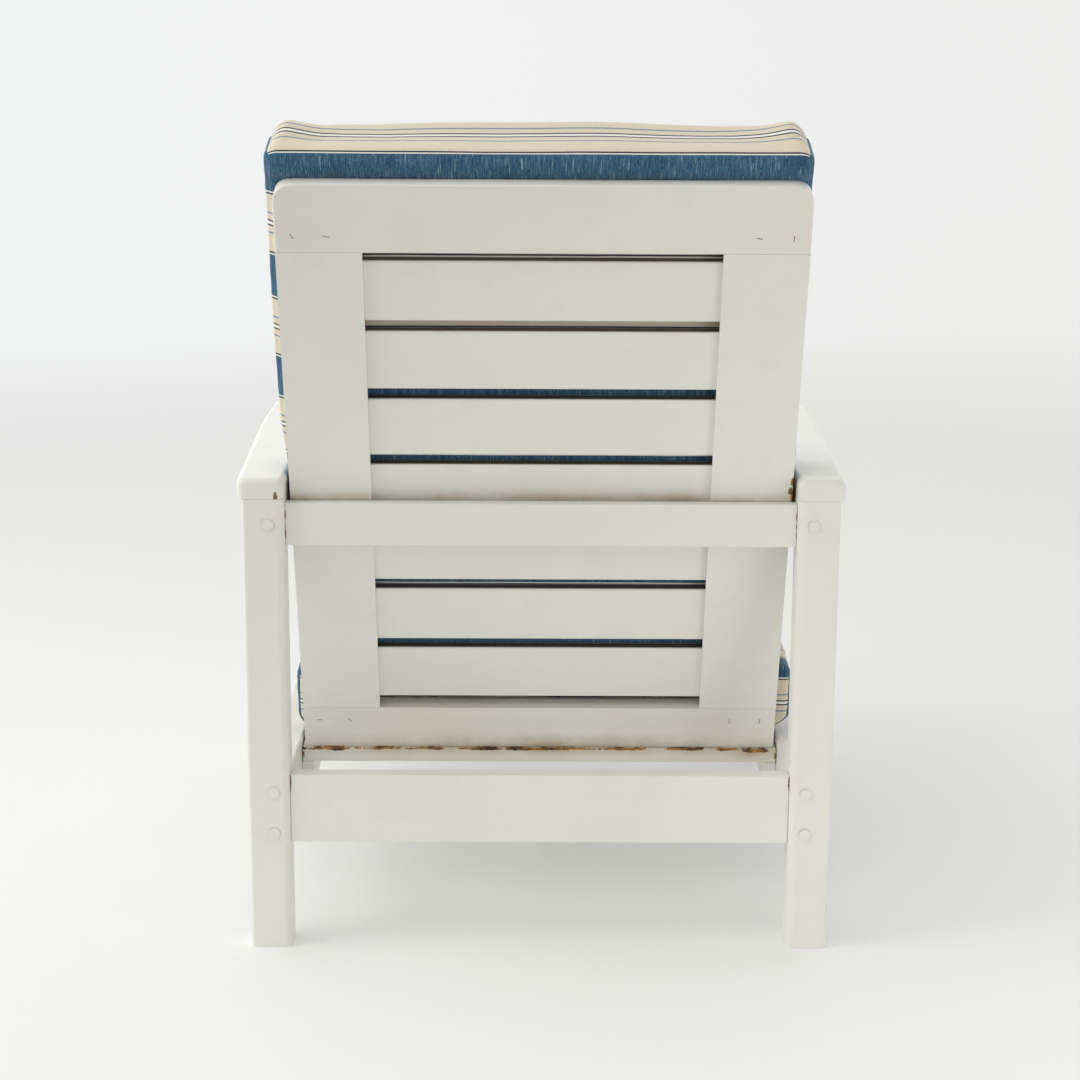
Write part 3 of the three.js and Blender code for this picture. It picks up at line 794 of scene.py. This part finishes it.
def build_cushions():
    fabric = ticking()
    post_room = 0.2992                        # the clear half width between posts and arms
    arm_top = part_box("armrest_left")[1].z
    cad_low, cad_high = local_box("back_cushion", BACK_AXES)
    rest_face = cad_high.y

    def back_swell(block, p):
        edge = sorted(block.inset(p, axis) for axis in range(3))[1]
        front = p.y < block.centre.y and block.inset(p, 1) < 1 * MM
        if front:
            return 2 * MM + BACK_CROWN * smooth_step(0, CROWN_REACH, edge)
        top = p.z > block.centre.z and block.inset(p, 2) < 1 * MM
        across_top = smooth_step(0, 0.06, block.inset(p, 0))
        crown = 3 + 12 * across_top if top else 6
        return (1.2 + crown * smooth_step(0, 0.048, edge)) * MM

    def back_shape(block, p):
        """The top boxing rises behind its middle, then rolls over to the front and the ends."""
        top = smooth_step(block.high.z - 60 * MM, block.high.z, p.z)
        depth = block.high.y - p.y
        thick = block.high.y - block.low.y
        rise = smooth_step(0, 0.62 * thick, depth)
        fall = smooth_step(0.60 * thick, thick, depth)
        ends = 0.7 * smooth_step(0, 24 * MM, block.inset(p, 0))
        ends += 0.35 * smooth_step(0, 0.25, block.inset(p, 0))
        return Vector((0, 9 * MM * fall * top,
                       TOP_ROLL * (rise * ends - 1.5 * fall) * top))

    def back_limit(point):
        height = (BACK_AXES @ point).z
        free = smooth_step(arm_top + 0.01, arm_top + 0.09, height)
        shifted = point.x + 5 * MM * free
        room = post_room + 12 * MM * free
        above = smooth_step(BACK_TOP - 1 * MM, BACK_TOP + 6 * MM, point.z)
        over_edge = above * smooth_step(cad_high.z + 2 * MM, cad_high.z - 18 * MM, point.z)
        behind = smooth_step(rest_face - 14 * MM, rest_face - 2 * MM, point.y)
        sag = 5.5 * MM * over_edge * behind
        return Vector((min(room, max(-room, shifted)),
                       min(rest_face + 6 * MM * above, point.y + sag), point.z))

    low = cad_low + Vector((-5, 4, 3)) * MM
    high = cad_high + Vector((5, -0.5, -1.5)) * MM
    cushion("cushion_back", "back_cushion", "back_cushion_body", BACK_AXES, fabric, low, high,
            Vector((18, 10, 16)) * MM, 2, 1, -1, 0.0, back_swell, back_shape,
            back_limit)

    cad_low, cad_high = local_box("seat_cushion", SEAT_AXES)
    seat_floor = cad_low.z
    over_seat = (SEAT_AXES.transposed() @ BACK_AXES @ local_box("back_cushion", BACK_AXES)[0]).y
    leg_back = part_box("front_leg_left")[1].y
    post_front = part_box("rear_post_left")[0].y
    rail_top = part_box("side_rail_left")[1].z

    def seat_swell(block, p):
        edge = sorted(block.inset(p, axis) for axis in range(3))[1]
        top = p.z > block.centre.z and block.inset(p, 2) < 1 * MM
        if top:
            open_air = smooth_step(0, 0.10, over_seat - p.y)
            return 1 * MM + SEAT_CROWN * open_air * smooth_step(0, CROWN_REACH, edge)
        return 2 * MM + SEAT_SIDES * smooth_step(0, 0.05, edge)

    def seat_shape(block, p):
        """The sides spill over the side rails at the rear, where the back cushion presses."""
        world = SEAT_AXES @ p
        between = smooth_step(block.high.y - 0.30, block.high.y - 0.06, p.y)
        clear = smooth_step(rail_top + 2 * MM, rail_top + 24 * MM, world.z)
        pressed = (smooth_step(over_seat - 0.02, over_seat + 0.05, p.y)
                   * smooth_step(block.centre.z, block.high.z, p.z))
        spill = p.x / block.half.x * SEAT_SPILL - SEAT_SHIFT
        return Vector((spill * between * clear, 0, -4 * MM * pressed))

    def seat_limit(point):
        world = SEAT_AXES @ point
        between = smooth_step(leg_back + 2 * MM, leg_back + 40 * MM, world.y)
        clear = smooth_step(rail_top + 2 * MM, rail_top + 18 * MM, world.z)
        room = post_room + (SEAT_SPILL + SEAT_SHIFT + 2 * MM) * between * clear
        return Vector((min(room, max(-room, point.x)), min(cad_high.y, point.y),
                       max(seat_floor, point.z)))

    low = cad_low + Vector((-1, 4, 1)) * MM
    high = cad_high + Vector((1, -4, -3)) * MM
    seat = cushion("cushion_seat", "seat_cushion", "seat_cushion_body", SEAT_AXES, fabric, low,
                   high, Vector((16, 12, 16)) * MM, 1, 2, -1, 0.015, seat_swell, seat_shape,
                   seat_limit)
    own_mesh(seat)


# ---- The room -----------------------------------------------------------------------
BACKDROP_LEFT = linear("#f2f4f3")
BACKDROP_RIGHT = linear("#ececeb")
ROOM_LEFT = linear("#fdfcf8", 1.02)   # the room behind the camera, on the window's side
ROOM_RIGHT = linear("#504f4b")        # and its unlit side
REAR_FLOOR_GLOW_LEFT = linear("#4a4945")   # its floor, where the paper has ended: a glow that lights the chair, dark on the window's side as painted shade
REAR_FLOOR_GLOW_RIGHT = linear("#d5d4cd")
PAPER_END = (1.0, 1.8)                # metres towards the rear, where the paper ends
ROOM_BRIGHT = linear("#f4f5f6")       # the lit paper sweep the chair faces
SWEEP_NEAR, SWEEP_FAR = 2.5, 7.0      # metres out, over which the floor fades into the sweep
FLOOR_GLOW_SHARE = 0.25                     # the share of the floor near the chair that glows, painted light that lifts the shadows on it
HORIZON_GAIN = 1.7                    # how much brighter the sweep is low down than overhead


def sweep_colour(t, direction):
    """The paper's tint, a little darker away from the window."""
    x = t.add("ShaderNodeSeparateXYZ", {0: direction}, out=0)
    side = t.add("ShaderNodeMath", {0: x, 1: 1.9, 2: 0.5}, operation="MULTIPLY_ADD",
                 use_clamp=True)
    return t.add("ShaderNodeMix", {0: side, 6: BACKDROP_RIGHT, 7: BACKDROP_LEFT}, out=2,
                 data_type="RGBA")


def studio_floor():
    """Matt white paper that runs back into an evenly lit sweep with no horizon; near the chair a
    share of it glows, painted light.
    """
    t = Tree(bpy.data.materials.new("matt_paper_sweep"))
    position = t.add("ShaderNodeTexCoord", out=3)
    x = t.add("ShaderNodeSeparateXYZ", {0: position}, out=0)
    y = t.add("ShaderNodeSeparateXYZ", {0: position}, out=1)
    out = t.add("ShaderNodeVectorMath", {0: position}, out=1, operation="LENGTH")
    direction = t.add("ShaderNodeVectorMath", {0: position}, operation="NORMALIZE")
    # a share of glow near the chair, painted light that lifts the shadows under it
    far = t.add("ShaderNodeMapRange", {0: out, 1: SWEEP_NEAR, 2: SWEEP_FAR, 3: FLOOR_GLOW_SHARE},
                interpolation_type="SMOOTHERSTEP")
    # behind the camera the floor glows, darker on the window's side: painted shade that shapes
    # the light on the chair's rear faces
    side = t.add("ShaderNodeMapRange", {0: x, 1: -1.6, 2: 1.2})
    room = t.add("ShaderNodeMix", {0: side, 6: REAR_FLOOR_GLOW_RIGHT, 7: REAR_FLOOR_GLOW_LEFT}, out=2,
                 data_type="RGBA")
    behind = t.add("ShaderNodeMapRange", {0: y, 1: PAPER_END[0], 2: PAPER_END[1]})
    tint = t.add("ShaderNodeMix", {0: behind, 6: sweep_colour(t, direction), 7: room}, out=2,
                 data_type="RGBA")
    far = t.add("ShaderNodeMath", {0: far, 1: behind}, operation="MAXIMUM")
    mottle = t.add("ShaderNodeTexNoise", {"Vector": position, "Scale": 1.1, "Detail": 2.0})
    white = t.add("ShaderNodeMix", {0: mottle, 6: linear("#f3f3f2"), 7: linear("#f6f6f5")},
                  out=2, data_type="RGBA")
    paper = t.add("ShaderNodeBsdfPrincipled", {"Base Color": white, "Roughness": 0.9,
                                               "Specular IOR Level": 0.1})
    glow = t.add("ShaderNodeEmission", {"Color": tint, "Strength": 1.0})
    blend = t.add("ShaderNodeMixShader", {0: far, 1: paper, 2: glow})
    t.add("ShaderNodeOutputMaterial", {"Surface": blend})
    return t.owner


def build_world(scene):
    """Soft light from the paper the chair faces, dim from the room behind the camera."""
    scene.world = bpy.data.worlds.new("studio")
    t = Tree(scene.world)
    direction = t.add("ShaderNodeTexCoord")
    x, y, z = (t.add("ShaderNodeSeparateXYZ", {0: direction}, out=i) for i in range(3))
    height = t.add("ShaderNodeClamp", {0: z})
    seen = t.add("ShaderNodeMix", {0: height, 6: sweep_colour(t, direction),
                                   7: BACKDROP_RIGHT}, out=2, data_type="RGBA")
    ahead = t.add("ShaderNodeMath", {0: y, 1: -0.75, 2: 0.5}, operation="MULTIPLY_ADD",
                  use_clamp=True)
    rise = t.add("ShaderNodeMath", {0: z}, operation="ABSOLUTE")
    low_down = t.add("ShaderNodeMath", {0: 1.0, 1: rise}, operation="SUBTRACT",
                     use_clamp=True)
    low_down = t.add("ShaderNodeMath", {0: low_down, 1: 3.0}, operation="POWER")
    low_down = t.add("ShaderNodeMath", {0: low_down, 1: ahead}, operation="MULTIPLY")
    side = t.add("ShaderNodeMapRange", {0: x, 1: -0.6, 2: 0.6})
    dim = t.add("ShaderNodeMix", {0: side, 6: ROOM_RIGHT, 7: ROOM_LEFT}, out=2,
                data_type="RGBA")
    light = t.add("ShaderNodeMix", {0: ahead, 6: dim, 7: ROOM_BRIGHT}, out=2,
                  data_type="RGBA")
    gain = t.add("ShaderNodeMix", {0: low_down, 6: (1, 1, 1, 1), 7: (*[HORIZON_GAIN] * 3, 1)},
                 out=2, data_type="RGBA")
    light = t.add("ShaderNodeMix", {0: 1.0, 6: light, 7: gain}, out=2, data_type="RGBA",
                  blend_type="MULTIPLY")
    camera_ray = t.add("ShaderNodeLightPath")
    shown = t.add("ShaderNodeMix", {0: camera_ray, 6: light, 7: seen}, out=2,
                  data_type="RGBA")
    glow = t.add("ShaderNodeBackground", {"Color": shown, "Strength": 1.0})
    t.add("ShaderNodeOutputWorld", {"Surface": glow})


def build_room():
    scene = bpy.context.scene
    scene.view_settings.view_transform = "Standard"
    bm = bmesh.new()
    bmesh.ops.create_circle(bm, cap_ends=True, radius=14, segments=64)
    mesh = bpy.data.meshes.new("floor")
    bm.to_mesh(mesh)
    bm.free()
    mesh.materials.append(studio_floor())
    floor = placed("floor", mesh)
    build_world(scene)
    for name, place, aim, size, power, tint in (
            ("window_left", (3.0, 0.9, 2.2), (0, 0, 0.4), 2.0, 36, "#fffefa"),
            ("fill_right", (-1.6, 1.7, 0.45), (-0.1, 0.3, 0.4), 1.0, 8.7, "#fffdf6"),
            ("overhead", (0.2, 0.9, 2.9), (0, 0.1, 0.2), 1.8, 7, "#fffefa")):
        light = bpy.data.lights.new(name, "AREA")
        light.shape = "SQUARE"
        light.size = size
        light.energy = power
        light.color = linear(tint)[:3]
        lamp = placed(name, light)
        lamp.location = place
        lamp.rotation_euler = (Vector(aim) - Vector(place)).to_track_quat("-Z", "Y").to_euler()


def build_camera():
    """A long lens from behind, a little above the chair's top and tipped down."""
    place = Vector((0.0142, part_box("rear_post_left")[1].y + 2.4828, 1.0473))
    tip, swing, roll = radians(12.251), radians(0.297), radians(0.287)
    forward = Vector((-sin(swing) * cos(tip), -cos(swing) * cos(tip), -sin(tip)))
    level = Vector((-cos(swing), sin(swing), 0))
    above = level.cross(forward)
    right = level * cos(roll) + above * sin(roll)
    up = above * cos(roll) - level * sin(roll)
    camera_data = bpy.data.cameras.new("camera")
    camera_data.sensor_width = 36
    camera_data.lens = 72.49
    camera_data.clip_end = 60
    camera = placed("camera", camera_data)
    axes = Matrix((right, up, -forward)).transposed().to_4x4()
    camera.matrix_world = Matrix.Translation(place) @ axes
    bpy.context.scene.camera = camera


build_frame()
build_back()
build_cushions()
build_room()
build_camera()
